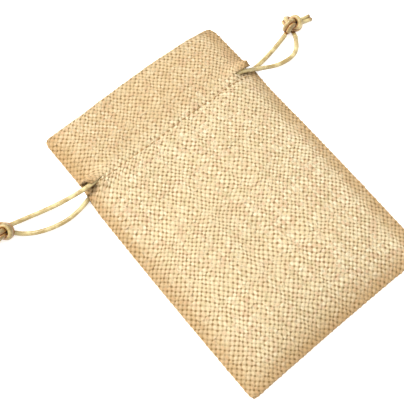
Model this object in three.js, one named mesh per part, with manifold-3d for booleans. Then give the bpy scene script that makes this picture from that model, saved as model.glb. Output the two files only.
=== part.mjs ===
// A drawstring gift pouch of woven cloth, lying on its back. Millimetres, +Z up.
// X runs across the pouch, +Y points to its mouth, and Z = 0 is the surface it lies on.
// Two satin cords run through the hem of the mouth, and each comes out at its own side in a
// knotted loop. Each cord's loop is open at its far bend, so that its two strands can slide.
import * as THREE from "three";
import { mergeVertices } from "three/addons/utils/BufferGeometryUtils.js";
import Module from "manifold-3d";

// Driving dimensions of the cloth
const length = 150; // bottom edge to mouth
const mouthWidth = 100;
const bodyWidth = 102;
const clothThickness = 0.5;
const mouthCornerRadius = 3;
const bottomCornerRadius = 4.5;
const crownTop = 11; // top of the front panel over the body and the casing
const mouthTop = 9.2; // top of the front panel beside the mouth fold
const seamTop = 3; // top of the front panel at the sewn edges
const slitEdgeTop = 6.5; // top of the front panel at the open side slits
const foldRadius = 0.65; // the rolled cloth edge at the mouth

// Driving dimensions of the casing, the slits and the hem
const stitchRowY = 41.4; // the row that closes the casing from below
const slitBottomY = 37.5;
const slitTopY = 48.8;
const hemRawEdgeY = 38;
const gap = 0.3; // left between pieces that touch on the real pouch
const frontHemTop = 8.1;
const backHemTop = 3.2;
const seamAllowance = 2.6;

// Driving dimensions of the cords
const cordDiameter = 2;
const frontLaneZ = 9.2; // cord centre between the front panel and its hem
const backLaneZ = 1.6; // cord centre between the back panel and its hem
const leftLaneY = 43;
const rightLaneY = 45.3;
const strandInnerX = 38; // where a strand ends next to the cord's far bend

// Driving dimensions of the knots and of the cut tails behind them
const knotRadius = 2.6;
const knotScale = [1, 0.86, 1.5];
const knotCentreZ = 3.65;
const leftKnotPlace = [-90.5, 51.5];
const rightKnotPlace = [82.2, 51.1];
const tailStart = 5.5; // from the knot's centre
const tailLength = 6.5;
const tailSpread = 1.15; // from the middle to each tail

const halfLength = length / 2;
const mouthEdgeY = halfLength - 2 * foldRadius - gap;
const cordRadius = cordDiameter / 2;

const wasm = await Module();
wasm.setup();

const clothMaterial = new THREE.MeshStandardMaterial({ color: 0xd9bf90, roughness: 0.95, metalness: 0 });
const hemMaterial = new THREE.MeshStandardMaterial({ color: 0xcdb080, roughness: 0.95, metalness: 0 });
const threadMaterial = new THREE.MeshStandardMaterial({ color: 0xa98452, roughness: 0.8, metalness: 0 });
const cordMaterial = new THREE.MeshStandardMaterial({ color: 0xd8b86a, roughness: 0.38, metalness: 0 });
const tipMaterial = new THREE.MeshStandardMaterial({ color: 0xb98a3c, roughness: 0.5, metalness: 0 });

const pouch = new THREE.Group();

function addPiece(name, geometry, material) {
  const mesh = new THREE.Mesh(geometry, material);
  mesh.name = name;
  pouch.add(mesh);
  return mesh;
}

// ---- shape of the cloth ----

function smooth(value, low, high) {
  return THREE.MathUtils.smoothstep(value, low, high);
}

// How far a rounded corner draws the side in, at this distance from the edge it rounds into
function cornerInset(distance, radius) {
  if (distance >= radius) return 0;
  return radius - Math.sqrt(radius * radius - (radius - distance) ** 2);
}

function halfWidthAt(y) {
  const straight = THREE.MathUtils.lerp(bodyWidth, mouthWidth, smooth(y, slitBottomY, slitTopY)) / 2;
  const atBottom = cornerInset(y + halfLength, bottomCornerRadius);
  const atMouth = cornerInset(halfLength - y, mouthCornerRadius);
  return straight - atBottom - atMouth;
}

// Top of the front panel. The body is a low crown, the casing is level from side to side, and
// the header runs down to the mouth. Each falls to the sewn edges, or to the open slits.
function frontTop(x, y) {
  const across = Math.abs(x) / (bodyWidth / 2);
  const along = THREE.MathUtils.clamp((y + halfLength) / 35, 0, 1);
  const middle = THREE.MathUtils.lerp(crownTop, mouthTop, smooth(y, slitTopY + 2, mouthEdgeY));
  const bottomRise = 1 - (1 - along) ** 3;
  const sideFall = THREE.MathUtils.lerp(across ** 4, across ** 14, smooth(y, 5, slitBottomY - 2));
  const sewn = seamTop + (middle - seamTop) * bottomRise * (1 - sideFall);
  const open = THREE.MathUtils.lerp(crownTop, slitEdgeTop, smooth(Math.abs(x), 46.4, 50.5));
  const atSlit = smooth(y, slitBottomY - 5, slitBottomY + 1) * (1 - smooth(y, slitTopY, slitTopY + 5));
  return THREE.MathUtils.lerp(sewn, open, atSlit);
}

// A sheet of cloth between two y values: a box whose corners and grid follow an outline
// and a top surface.
function clothPlate({ fromY, toY, columns, rows, halfWidth, top }) {
  const geometry = new THREE.BoxGeometry(1, 1, 1, columns, rows, 1);
  const position = geometry.attributes.position;
  for (let i = 0; i < position.count; i += 1) {
    const y = THREE.MathUtils.lerp(fromY, toY, position.getY(i) + 0.5);
    const x = 2 * position.getX(i) * halfWidth(y);
    const under = position.getZ(i) < 0 ? clothThickness : 0;
    position.setXYZ(i, x, y, top(x, y) - under);
  }
  geometry.deleteAttribute("normal");
  geometry.deleteAttribute("uv");
  return mergeVertices(geometry);
}

function toSolid(geometry) {
  const plain = geometry.clone();
  plain.deleteAttribute("normal");
  plain.deleteAttribute("uv");
  const merged = mergeVertices(plain);
  return new wasm.Manifold(
    new wasm.Mesh({
      numProp: 3,
      vertProperties: Float32Array.from(merged.attributes.position.array),
      triVerts: Uint32Array.from(merged.index.array),
    }),
  );
}

function toGeometry(solid) {
  const mesh = solid.getMesh();
  const geometry = new THREE.BufferGeometry();
  geometry.setAttribute("position", new THREE.BufferAttribute(mesh.vertProperties, 3));
  geometry.setIndex(new THREE.BufferAttribute(mesh.triVerts, 1));
  return geometry;
}

function boxBetween(low, high) {
  const size = high.map((value, axis) => value - low[axis]);
  const geometry = new THREE.BoxGeometry(...size);
  geometry.translate(...low.map((value, axis) => value + size[axis] / 2));
  return geometry;
}

// ---- the front and back panels, with the front one drawn in where its two cords come out ----

const clothFront = clothPlate({
  fromY: -halfLength,
  toY: mouthEdgeY,
  columns: 28,
  rows: 38,
  halfWidth: halfWidthAt,
  top: frontTop,
});
const leftNotch = boxBetween([-60, leftLaneY - 2.6, 0], [-46.4, leftLaneY + 2, 20]);
const rightNotch = boxBetween([42.4, rightLaneY - 5.6, 0], [60, rightLaneY + 2.1, 20]);
const frontSolid = toSolid(clothFront).subtract(toSolid(leftNotch)).subtract(toSolid(rightNotch));
addPiece("front_panel", toGeometry(frontSolid), clothMaterial);

addPiece(
  "back_panel",
  clothPlate({
    fromY: -halfLength,
    toY: mouthEdgeY,
    columns: 2,
    rows: 40,
    halfWidth: halfWidthAt,
    top: () => clothThickness,
  }),
  clothMaterial,
);

// ---- the hem: each panel's top, folded in at the mouth and stitched down ----

// The hem stops short of the side slits, where the cords turn, and is wide above them
function hemHalfWidth(y) {
  return y < slitTopY + gap ? strandInnerX - 0.5 : mouthWidth / 2 - 6;
}

function frontHemSurface(x, y) {
  return Math.min(frontHemTop, frontTop(x, y) - clothThickness - gap);
}

function backHemSurface(x, y) {
  return THREE.MathUtils.lerp(backHemTop, 2 * clothThickness + 0.7, smooth(y, slitTopY + 6, mouthEdgeY));
}

for (const [side, top] of [["front", frontHemSurface], ["back", backHemSurface]]) {
  addPiece(
    `${side}_hem`,
    clothPlate({ fromY: hemRawEdgeY, toY: mouthEdgeY, columns: 14, rows: 24, halfWidth: hemHalfWidth, top }),
    hemMaterial,
  );
}

function addMouthFold(name, z) {
  const geometry = new THREE.CylinderGeometry(foldRadius, foldRadius, mouthWidth - 12, 10);
  geometry.rotateZ(Math.PI / 2);
  const mesh = addPiece(name, geometry, clothMaterial);
  mesh.position.set(0, halfLength - foldRadius, z);
}

addMouthFold("front_mouth_fold", mouthTop - clothThickness - 0.2);
addMouthFold("back_mouth_fold", foldRadius + 0.15);

// ---- the stitched rows that keep the cords in the hem ----

function addStitchRow(name, bottomZ, topZ) {
  const reach = strandInnerX - 1;
  const low = [-reach, stitchRowY - gap, bottomZ + 0.1];
  addPiece(name, boxBetween(low, [reach, stitchRowY + gap, topZ - 0.1]), threadMaterial);
}

addStitchRow("front_stitch_row", frontHemTop, crownTop - clothThickness);
addStitchRow("back_stitch_row", clothThickness, backHemTop - clothThickness);

// ---- seams: the edges of both panels, turned in and sewn together ----

const seamBottomZ = clothThickness + 0.1;
const seamTopZ = seamTop - clothThickness - 0.1;

function addSideSeam(name, side, fromY, toY) {
  const outer = mouthWidth / 2 - 0.2;
  const xs = [side * outer, side * (outer - seamAllowance)].sort((a, b) => a - b);
  addPiece(name, boxBetween([xs[0], fromY, seamBottomZ], [xs[1], toY, seamTopZ]), hemMaterial);
}

for (const [sideName, side] of [["left", -1], ["right", 1]]) {
  addSideSeam(`${sideName}_body_seam`, side, -halfLength + bottomCornerRadius, slitBottomY);
  addSideSeam(`${sideName}_header_seam`, side, slitTopY, mouthEdgeY - mouthCornerRadius);
}
addPiece(
  "bottom_seam",
  boxBetween(
    [-bodyWidth / 2 + 2 * bottomCornerRadius, -halfLength + 0.5, seamBottomZ],
    [bodyWidth / 2 - 2 * bottomCornerRadius, -halfLength + 0.5 + seamAllowance, seamTopZ],
  ),
  hemMaterial,
);

// ---- the cords ----

const cordSides = 8;

function cordSection() {
  const outline = new THREE.EllipseCurve(0, 0, cordRadius, cordRadius, 0, 2 * Math.PI);
  return new THREE.Shape(outline.getPoints(cordSides).slice(0, cordSides));
}

function addCord(name, points, material = cordMaterial) {
  const path = new THREE.CatmullRomCurve3(points.map((point) => new THREE.Vector3(...point)));
  const steps = Math.max(3, Math.round(path.getLength() / (2 * cordDiameter)));
  addPiece(name, new THREE.ExtrudeGeometry(cordSection(), { steps, extrudePath: path }), material);
}

// Each strand starts in the hem, at the cord's far bend, and comes out at the slit
addCord("left_front_strand", [
  [strandInnerX, leftLaneY, frontLaneZ],
  [-38, leftLaneY, frontLaneZ],
  [-43, leftLaneY, frontLaneZ],
  [-46.5, leftLaneY, 9.1],
  [-50, 43.3, 8.1],
  [-54, 44.5, 5.9],
  [-58.6, 46, 3.5],
  [-64.4, 47.7, 1.7],
  [-70.6, 49.3, 1.1],
  [-77.1, 50.9, 1.2],
  [-82.2, 51.8, 2],
  [-85.4, 52.2, 3],
]);
addCord("left_back_strand", [
  [strandInnerX, leftLaneY, backLaneZ],
  [-38, leftLaneY, backLaneZ],
  [-43, leftLaneY, backLaneZ],
  [-47, 42, 1.75],
  [-51, 40.6, 1.95],
  [-54.5, 39.7, 1.5],
  [-58.7, 39.1, 1.15],
  [-63.6, 38.8, 1.1],
  [-68.6, 39.4, 1.1],
  [-73.6, 40.7, 1.1],
  [-78.1, 42.5, 1.1],
  [-82.1, 44.9, 1.2],
  [-85, 47.1, 1.8],
  [-86.6, 48.6, 2.4],
]);
addCord("right_front_strand", [
  [-strandInnerX, rightLaneY, frontLaneZ],
  [36, rightLaneY, frontLaneZ],
  [40, 45.2, frontLaneZ],
  [43.5, 44.5, 9],
  [47, 43.4, 7.9],
  [50.9, 42.3, 6.1],
  [55.5, 41.2, 3.9],
  [60.2, 39.9, 2.3],
  [65.2, 38.9, 1.3],
  [69.9, 38.6, 1.1],
  [73.7, 39.3, 1.1],
  [76.4, 41, 1.1],
  [78.3, 43.3, 1.4],
  [79.7, 45.6, 2.3],
]);
addCord("right_back_strand", [
  [-strandInnerX, rightLaneY, backLaneZ],
  [38, rightLaneY, backLaneZ],
  [43, rightLaneY, backLaneZ],
  [47.5, 44.9, 1.75],
  [52.4, 44.9, 1.95],
  [57.7, 45.5, 1.4],
  [64, 46.7, 1.1],
  [69.4, 47.9, 1.1],
  [73.2, 48.8, 1.6],
  [76, 49.4, 2.4],
]);

// Where each cord turns back, in the slit on the side away from its knot
function addFarBend(name, side, laneY) {
  const centreZ = (frontLaneZ + backLaneZ) / 2;
  const radius = (frontLaneZ - backLaneZ) / 2;
  const points = [];
  for (let turn = -90; turn <= 90; turn += 15) {
    const angle = THREE.MathUtils.degToRad(turn);
    const outward = strandInnerX + gap + radius * Math.cos(angle);
    points.push([side * outward, laneY, centreZ + radius * Math.sin(angle)]);
  }
  addCord(name, points);
}

addFarBend("left_cord_far_bend", 1, leftLaneY);
addFarBend("right_cord_far_bend", -1, rightLaneY);

// ---- the knots, each tied in both strands, and the two cut tails behind it ----

function addKnot(name, [x, y], turn) {
  const geometry = new THREE.TorusKnotGeometry(knotRadius, 1.05, 56, cordSides, 2, 3);
  geometry.scale(...knotScale);
  const mesh = addPiece(name, geometry, cordMaterial);
  mesh.position.set(x, y, knotCentreZ);
  mesh.rotation.z = turn;
}

function addTails(cordName, [x, y], towards) {
  for (const [tail, sideways] of [["upper", tailSpread], ["lower", -tailSpread]]) {
    const across = [-Math.sin(towards) * sideways, Math.cos(towards) * sideways];
    const points = [];
    for (const [share, z] of [[0, 2.1], [0.5, 1.4], [1, 1.1]]) {
      const out = tailStart + share * tailLength;
      points.push([x + out * Math.cos(towards) + across[0], y + out * Math.sin(towards) + across[1], z]);
    }
    addCord(`${cordName}_${tail}_tail`, points, tipMaterial);
  }
}

addKnot("left_knot", leftKnotPlace, 0.3);
addKnot("right_knot", rightKnotPlace, -0.4);
addTails("left", leftKnotPlace, THREE.MathUtils.degToRad(172));
addTails("right", rightKnotPlace, THREE.MathUtils.degToRad(-9));

export default pouch;
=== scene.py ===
import math

import bmesh
import bpy
import numpy as np
from mathutils import Matrix, Vector


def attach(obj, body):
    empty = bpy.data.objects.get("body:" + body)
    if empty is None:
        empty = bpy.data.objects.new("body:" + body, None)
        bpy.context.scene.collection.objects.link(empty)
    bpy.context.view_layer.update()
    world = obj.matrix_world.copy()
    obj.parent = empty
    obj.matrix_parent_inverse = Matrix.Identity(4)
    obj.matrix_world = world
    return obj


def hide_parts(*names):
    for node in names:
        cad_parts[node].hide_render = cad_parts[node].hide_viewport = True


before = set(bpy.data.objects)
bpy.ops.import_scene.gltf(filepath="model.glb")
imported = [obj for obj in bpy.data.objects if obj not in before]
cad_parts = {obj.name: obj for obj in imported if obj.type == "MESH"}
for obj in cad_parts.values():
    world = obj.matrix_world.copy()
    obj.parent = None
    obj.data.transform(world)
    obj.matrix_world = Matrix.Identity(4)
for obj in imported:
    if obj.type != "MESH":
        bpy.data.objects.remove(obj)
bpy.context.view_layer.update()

mm = 0.001


cameraSetup = {
    "place": (-0.1060, -0.0966, 0.3621),
    "aim": (-0.0112, 0.0076, 0.0),
    "roll": 3.08,       # degrees about the line of sight
    "lens": 75.6,
    "sensor": 36.0,
}

studio = {
    "floorSize": 4.0,
    "floorColor": (0.95, 0.95, 0.95, 1.0),
    "floorGlow": 0.60,          # keeps the floor near white under the soft shadow
    "skyColor": (1.0, 0.985, 0.96, 1.0),
    "skyStrength": 0.62,
    "keyPlace": (-0.55, 0.75, 1.10),
    "keySize": 0.6,
    "keyPower": 24.0,
    "fillPlace": (0.7, -0.5, 0.9),
    "fillSize": 1.2,
    "fillPower": 3.5,
}


def addCamera():
    setup = cameraSetup
    data = bpy.data.cameras.new("mainCamera")
    data.lens = setup["lens"]
    data.sensor_width = setup["sensor"]
    data.clip_start = 0.01
    camera = bpy.data.objects.new("mainCamera", data)
    bpy.context.collection.objects.link(camera)
    place = Vector(setup["place"])
    look = (Vector(setup["aim"]) - place).to_track_quat("-Z", "Y")
    turn = Matrix.Rotation(math.radians(setup["roll"]), 4, "Z")
    camera.matrix_world = Matrix.Translation(place) @ look.to_matrix().to_4x4() @ turn
    bpy.context.scene.camera = camera


def addSoftbox(name, place, size, power, color):
    data = bpy.data.lights.new(name, "AREA")
    data.shape = "SQUARE"
    data.size = size
    data.energy = power
    data.color = color
    lamp = bpy.data.objects.new(name, data)
    lamp.location = place
    lamp.rotation_euler = (-Vector(place)).to_track_quat("-Z", "Y").to_euler()
    bpy.context.collection.objects.link(lamp)


def addStudio():
    bpy.context.scene.view_settings.view_transform = "Standard"
    bpy.ops.object.select_all(action="DESELECT")
    bpy.ops.mesh.primitive_plane_add(size=studio["floorSize"])
    floor = bpy.context.active_object
    floor.name = "paleFloor"
    paint = bpy.data.materials.new("paleFloor")
    paint.use_nodes = True
    shader = paint.node_tree.nodes["Principled BSDF"]
    shader.inputs["Base Color"].default_value = studio["floorColor"]
    shader.inputs["Roughness"].default_value = 0.9
    shader.inputs["Specular IOR Level"].default_value = 0.1
    shader.inputs["Emission Color"].default_value = (1, 1, 1, 1)
    shader.inputs["Emission Strength"].default_value = studio["floorGlow"]
    floor.data.materials.append(paint)
    world = bpy.data.worlds.new("softSky")
    world.use_nodes = True
    sky = world.node_tree.nodes["Background"]
    sky.inputs["Color"].default_value = studio["skyColor"]
    sky.inputs["Strength"].default_value = studio["skyStrength"]
    bpy.context.scene.world = world
    addSoftbox("keyLight", studio["keyPlace"], studio["keySize"], studio["keyPower"], (1, 0.97, 0.92))
    addSoftbox("fillLight", studio["fillPlace"], studio["fillSize"], studio["fillPower"], (1, 0.98, 0.95))


# A material being wired up: each call adds one node and returns its output.
class Paint:

    def __init__(self, name):
        self.material = bpy.data.materials.new(name)
        self.material.use_nodes = True
        self.tree = self.material.node_tree
        self.shader = self.tree.nodes["Principled BSDF"]

    def plug(self, socket, value):
        if isinstance(value, bpy.types.NodeSocket):
            self.tree.links.new(value, socket)
        elif value is not None:
            socket.default_value = value

    def node(self, kind, **settings):
        made = self.tree.nodes.new(kind)
        for key, value in settings.items():
            setattr(made, key, value)
        return made

    def math(self, operation, first, second=None, third=None):
        made = self.node("ShaderNodeMath", operation=operation)
        for socket, value in zip(made.inputs, (first, second, third)):
            self.plug(socket, value)
        return made.outputs[0]

    def add(self, first, second):
        return self.math("ADD", first, second)

    def minus(self, first, second):
        return self.math("SUBTRACT", first, second)

    def times(self, first, second):
        return self.math("MULTIPLY", first, second)

    def finish(self, values):
        for name, value in values.items():
            self.plug(self.shader.inputs[name], value)
        return self.material

    def spread(self, value, low, high, toLow=0.0, toHigh=1.0):
        made = self.node("ShaderNodeMapRange", interpolation_type="SMOOTHSTEP")
        for key, given in (("Value", value), ("From Min", low), ("From Max", high),
                           ("To Min", toLow), ("To Max", toHigh)):
            self.plug(made.inputs[key], given)
        return made.outputs[0]

    def mix(self, share, first, second, blend="MIX"):
        made = self.node("ShaderNodeMix", data_type="RGBA", blend_type=blend)
        self.plug(made.inputs[0], share)
        self.plug(made.inputs[6], first)
        self.plug(made.inputs[7], second)
        return made.outputs[2]

    def noise(self, vector, scale, detail=2.0, roughness=0.5):
        made = self.node("ShaderNodeTexNoise")
        self.plug(made.inputs["Vector"], vector)
        made.inputs["Scale"].default_value = scale
        made.inputs["Detail"].default_value = detail
        made.inputs["Roughness"].default_value = roughness
        return made.outputs["Fac"]

    def shifted(self, place):
        made = self.node("ShaderNodeVectorMath", operation="ADD")
        self.plug(made.inputs[0], place)
        made.inputs[1].default_value = (0.31, 0.17, 0.53)
        return made.outputs[0]

    def random(self, value):
        made = self.node("ShaderNodeTexWhiteNoise", noise_dimensions="1D")
        self.plug(made.inputs["W"], value)
        return made.outputs["Value"]

    def bump(self, height, strength, distance, normal=None):
        made = self.node("ShaderNodeBump")
        made.inputs["Strength"].default_value = strength
        made.inputs["Distance"].default_value = distance
        self.plug(made.inputs["Height"], height)
        self.plug(made.inputs["Normal"], normal)
        return made.outputs["Normal"]

    def uv(self, layer):
        made = self.node("ShaderNodeUVMap", uv_map=layer)
        split = self.node("ShaderNodeSeparateXYZ")
        self.tree.links.new(made.outputs[0], split.inputs[0])
        return split.outputs[0], split.outputs[1]

    def objectPlace(self):
        return self.node("ShaderNodeTexCoord").outputs["Object"]


def newPiece(name, vertices, faces, material, uvs, layer="threads"):
    mesh = bpy.data.meshes.new(name)
    mesh.from_pydata(vertices, [], faces)
    uvLayer = mesh.uv_layers.new(name=layer)
    places = np.asarray(uvs, dtype=np.float32)
    if len(places) != len(mesh.loops):      # one for each vertex rather than each face corner
        loopVertex = np.empty(len(mesh.loops), dtype=np.int32)
        mesh.loops.foreach_get("vertex_index", loopVertex)
        places = places[loopVertex]
    uvLayer.data.foreach_set("uv", places.ravel())
    mesh.polygons.foreach_set("use_smooth", [True] * len(mesh.polygons))
    mesh.materials.append(material)
    mesh.update()
    piece = bpy.data.objects.new(name, mesh)
    bpy.context.collection.objects.link(piece)
    return piece


# A smooth line through listed points, cut into equal steps. Any unit.
def smoothPath(points, step):
    hand = np.asarray(points, dtype=float)
    ends = np.vstack([2 * hand[0] - hand[1], hand, 2 * hand[-1] - hand[-2]])
    line = []
    for p0, p1, p2, p3 in zip(ends, ends[1:], ends[2:], ends[3:]):
        gaps = [max(np.linalg.norm(q - p), 1e-9) ** 0.5 for p, q in ((p0, p1), (p1, p2), (p2, p3))]
        t1, t2, t3 = gaps[0], gaps[0] + gaps[1], sum(gaps)
        count = max(2, int(np.linalg.norm(p2 - p1) / step * 2))
        t = np.linspace(t1, t2, count, endpoint=False)[:, None]
        a1 = (t1 - t) / t1 * p0 + t / t1 * p1
        a2 = (t2 - t) / (t2 - t1) * p1 + (t - t1) / (t2 - t1) * p2
        a3 = (t3 - t) / (t3 - t2) * p2 + (t - t2) / (t3 - t2) * p3
        b1 = (t2 - t) / t2 * a1 + t / t2 * a2
        b2 = (t3 - t) / (t3 - t1) * a2 + (t - t1) / (t3 - t1) * a3
        line.append((t2 - t) / (t2 - t1) * b1 + (t - t1) / (t2 - t1) * b2)
    line = np.vstack(line + [hand[-1:]])
    along = np.concatenate([[0], np.cumsum(np.linalg.norm(np.diff(line, axis=0), axis=1))])
    even = np.linspace(0, along[-1], max(3, int(round(along[-1] / step)) + 1))
    return np.column_stack([np.interp(even, along, line[:, k]) for k in range(3)])


# Two directions across the line at each point, carried along it without twisting.
def steadyFrames(path):
    tangents = np.gradient(path, axis=0)
    tangents /= np.linalg.norm(tangents, axis=1)[:, None]
    up = np.array([0.0, 0.0, 1.0])
    if abs(tangents[0] @ up) > 0.9:
        up = np.array([0.0, 1.0, 0.0])
    first = []
    for tangent in tangents:
        up = up - tangent * (up @ tangent)
        up /= np.linalg.norm(up)
        first.append(up)
    first = np.array(first)
    return first, np.cross(tangents, first)


# A tube along a path in millimetres. radius is a number or one for each point.
def tubePiece(name, path, radius, material, sides=20, roundEnds=True, flat=(1.0, 1.0)):
    path = np.asarray(path, dtype=float)
    radii = np.broadcast_to(np.asarray(radius, dtype=float), (len(path),)).copy()
    along = np.concatenate([[0], np.cumsum(np.linalg.norm(np.diff(path, axis=0), axis=1))])
    if roundEnds:       # each end closes in a small dome
        startWay = path[0] - path[1]
        startWay /= np.linalg.norm(startWay)
        endWay = path[-1] - path[-2]
        endWay /= np.linalg.norm(endWay)
        domes = [(0.35, 0.94), (0.62, 0.78), (0.84, 0.52)]
        head = [path[0] + startWay * radii[0] * 0.7 * out for out, _ in reversed(domes)]
        tail = [path[-1] + endWay * radii[-1] * 0.7 * out for out, _ in domes]
        radii = np.concatenate([
            [radii[0] * wide for _, wide in reversed(domes)], radii, [radii[-1] * wide for _, wide in domes]
        ])
        path = np.vstack([head, path, tail])
        along = np.concatenate([[along[0]] * 3, along, [along[-1]] * 3])
    up, side = steadyFrames(path)
    angles = np.arange(sides) * 2 * math.pi / sides
    ring = flat[1] * np.cos(angles)[None, :, None] * up[:, None, :]
    ring = ring + flat[0] * np.sin(angles)[None, :, None] * side[:, None, :]
    places = path[:, None, :] + ring * radii[:, None, None]
    count = len(path)
    vertices = (places.reshape(-1, 3) * mm).tolist()
    uvs = []
    faces = []
    for row in range(count - 1):
        for k in range(sides):
            nextK = (k + 1) % sides
            here, above = row * sides, (row + 1) * sides
            faces.append((here + k, above + k, above + nextK, here + nextK))
            low, high = k / sides, (k + 1) / sides
            uvs += [(along[row], low), (along[row + 1], low), (along[row + 1], high), (along[row], high)]
    for row, turn in ((0, 1), (count - 1, -1)):
        vertices.append((path[row] * mm).tolist())
        hub = len(vertices) - 1
        for k in range(sides):
            edge = (row * sides + k, row * sides + (k + 1) % sides)
            faces.append((edge[0], edge[1], hub) if turn == 1 else (edge[1], edge[0], hub))
            uvs += [(along[row], (k + 0.5) / sides)] * 3
    return newPiece(name, vertices, faces, material, uvs, "alongCord")


cordFacts = {
    "diameter": 2.0,
    "step": 0.45,
    "flat": (1.12, 0.94),   # the satin cord is a little wider than it is high
    "insideHem": 28.5,      # how far a free strand reaches back into the hem
    "satin": (0.42, 0.30, 0.10, 1.0),
    "satinLight": (0.74, 0.62, 0.30, 1.0),
    # satinShade: painted shade for the cord's sides, underside and the grooves between its ribs
    "satinShade": (0.17, 0.095, 0.02, 1.0),
    # painted shade in the knot's creases, where the strands touch
    "creaseShade": (0.44, 0.18, 0.025, 1.0),
    "creaseShadeDeep": (0.13, 0.042, 0.005, 1.0),
    "tipBurn": (0.20, 0.09, 0.02, 1.0),
}
lanes = {"leftY": 43.0, "rightY": 45.3, "frontZ": 9.2, "backZ": 1.6, "innerX": 38.0}

strandRoutes = {
    "left_front_strand": [
        (38, 43, 9.2), (-38, 43, 9.2), (-43, 43, 9.2), (-46.5, 43, 9.1), (-50, 43.3, 8.1),
        (-54, 44.5, 5.9), (-58.6, 46, 3.5), (-64.4, 47.7, 1.7), (-70.6, 49.3, 1.1), (-77.1, 50.9, 1.2),
        (-82.2, 51.8, 2), (-85.4, 52.2, 3),
    ],
    "left_back_strand": [
        (38, 43, 1.6), (-38, 43, 1.6), (-43, 43, 1.6), (-47, 42, 1.75), (-51, 40.6, 1.95),
        (-54.5, 39.7, 1.5), (-58.7, 39.1, 1.15), (-63.6, 38.8, 1.1), (-68.6, 39.4, 1.1), (-73.6, 40.7, 1.1),
        (-78.1, 42.5, 1.1), (-82.1, 44.9, 1.2), (-85, 47.1, 1.8), (-86.6, 48.6, 2.4),
    ],
    "right_front_strand": [
        (-38, 45.3, 9.2), (36, 45.3, 9.2), (40, 45.2, 9.2), (43.5, 44.5, 9), (47, 43.4, 7.9),
        (50.9, 42.3, 6.1), (55.5, 41.2, 3.9), (60.2, 39.9, 2.3), (65.2, 38.9, 1.3), (69.9, 38.6, 1.1),
        (73.7, 39.3, 1.1), (76.4, 41, 1.1), (78.3, 43.3, 1.4), (79.7, 45.6, 2.3),
    ],
    "right_back_strand": [
        (-38, 45.3, 1.6), (38, 45.3, 1.6), (43, 45.3, 1.6), (47.5, 44.9, 1.75), (52.4, 44.9, 1.95),
        (57.7, 45.5, 1.4), (64, 46.7, 1.1), (69.4, 47.9, 1.1), (73.2, 48.8, 1.6), (76, 49.4, 2.4),
    ],
}
strandExits = {      # where each strand leaves the cloth, the route's x there
    "left_front_strand": -46.5,
    "left_back_strand": -49.5,
    "right_front_strand": 43.5,
    "right_back_strand": 50.0,
}


def satinMaterial(name, burnt=False, creased=False):
    paint = Paint(name)
    along, around = paint.uv("alongCord")
    fine = paint.add(paint.times(along, 5.2), paint.times(around, 14.0))
    other = paint.minus(paint.times(along, 5.2), paint.times(around, 14.0))
    ribOne = paint.math("SINE", paint.times(fine, 2 * math.pi))
    ribTwo = paint.math("SINE", paint.times(other, 2 * math.pi))
    ribs = paint.math("MAXIMUM", ribOne, ribTwo)
    place = paint.objectPlace()
    patches = paint.noise(place, 260.0, 3.0)
    streak = paint.noise(place, 1400.0, 2.0)
    tone = paint.mix(paint.spread(patches, 0.35, 0.7), cordFacts["satin"], cordFacts["satinLight"])
    # painted shade in the grooves between the ribs
    tone = paint.mix(paint.spread(ribs, 0.2, -0.9, 0.0, 0.45), tone, cordFacts["satinShade"])
    # painted shade: the cord's sides and underside are painted darker than its top
    turned = paint.math("COSINE", paint.times(around, 2 * math.pi))
    tone = paint.mix(paint.spread(turned, 0.75, -0.15, 0.0, 0.68), tone, cordFacts["satinShade"])
    tone = paint.mix(paint.spread(streak, 0.5, 0.75, 0.0, 0.25), tone, cordFacts["satinLight"])
    if burnt:
        tip = paint.node("ShaderNodeAttribute", attribute_name="tipShade").outputs["Fac"]
        tone = paint.mix(tip, tone, cordFacts["tipBurn"])
    if creased:
        # painted shade in the knot's creases
        dark = paint.node("ShaderNodeAttribute", attribute_name="creaseShade").outputs["Fac"]
        tone = paint.mix(paint.spread(dark, 0.0, 0.7, 0.0, 0.85), tone, cordFacts["creaseShade"])
        tone = paint.mix(paint.spread(dark, 0.55, 1.0, 0.0, 0.9), tone, cordFacts["creaseShadeDeep"])
    return paint.finish({
        "Base Color": tone,
        "Roughness": paint.spread(patches, 0.3, 0.7, 0.24, 0.36),
        "Specular IOR Level": 0.9,
        "Sheen Weight": 0.12,
        "Sheen Roughness": 0.35,
        "Sheen Tint": (1.0, 0.92, 0.7, 1.0),
        "Normal": paint.bump(ribs, 0.35, 0.00006),
    })


def addCords():
    satin = satinMaterial("satinCord")
    burnt = satinMaterial("satinCordTip", burnt=True)
    creased = satinMaterial("satinCordKnot", creased=True)
    pieces = {}
    radius = cordFacts["diameter"] / 2
    for node, points in strandRoutes.items():
        body = node.split("_")[0] + "_drawstring"
        route = smoothPath(points, cordFacts["step"])
        exitX = strandExits[node]
        inward = -1 if exitX > 0 else 1
        firstX = exitX + inward * cordFacts["insideHem"]
        split = int(np.argmin(np.abs(route[:, 0] - firstX)))
        exitPoint = route[int(np.argmin(np.abs(route[:, 0] - exitX)))]
        name, flat = node.replace("_", ""), cordFacts["flat"]
        free = tubePiece(name, route[split:], radius, satin, flat=flat)
        hidden = tubePiece(name + "InHem", route[: split + 1], radius, satin, flat=flat)
        for piece in (free, hidden):
            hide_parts(node)
            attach(piece, body)
        pieces[node] = (free, route[split:], exitPoint)
    return pieces, satin, burnt, creased


def addFarBends(satin):
    turn = np.radians(np.arange(-90, 91, 6))
    middle = (lanes["frontZ"] + lanes["backZ"]) / 2
    radius = (lanes["frontZ"] - lanes["backZ"]) / 2
    bends = (("left_cord_far_bend", 1, lanes["leftY"]), ("right_cord_far_bend", -1, lanes["rightY"]))
    for name, side, laneY in bends:
        outward = lanes["innerX"] + 0.3 + radius * np.cos(turn)
        path = np.column_stack([side * outward, np.full(len(turn), laneY), middle + radius * np.sin(turn)])
        bend = tubePiece(name.replace("_", ""), path, cordFacts["diameter"] / 2, satin)
        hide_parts(name)
        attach(bend, "pouch")


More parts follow.
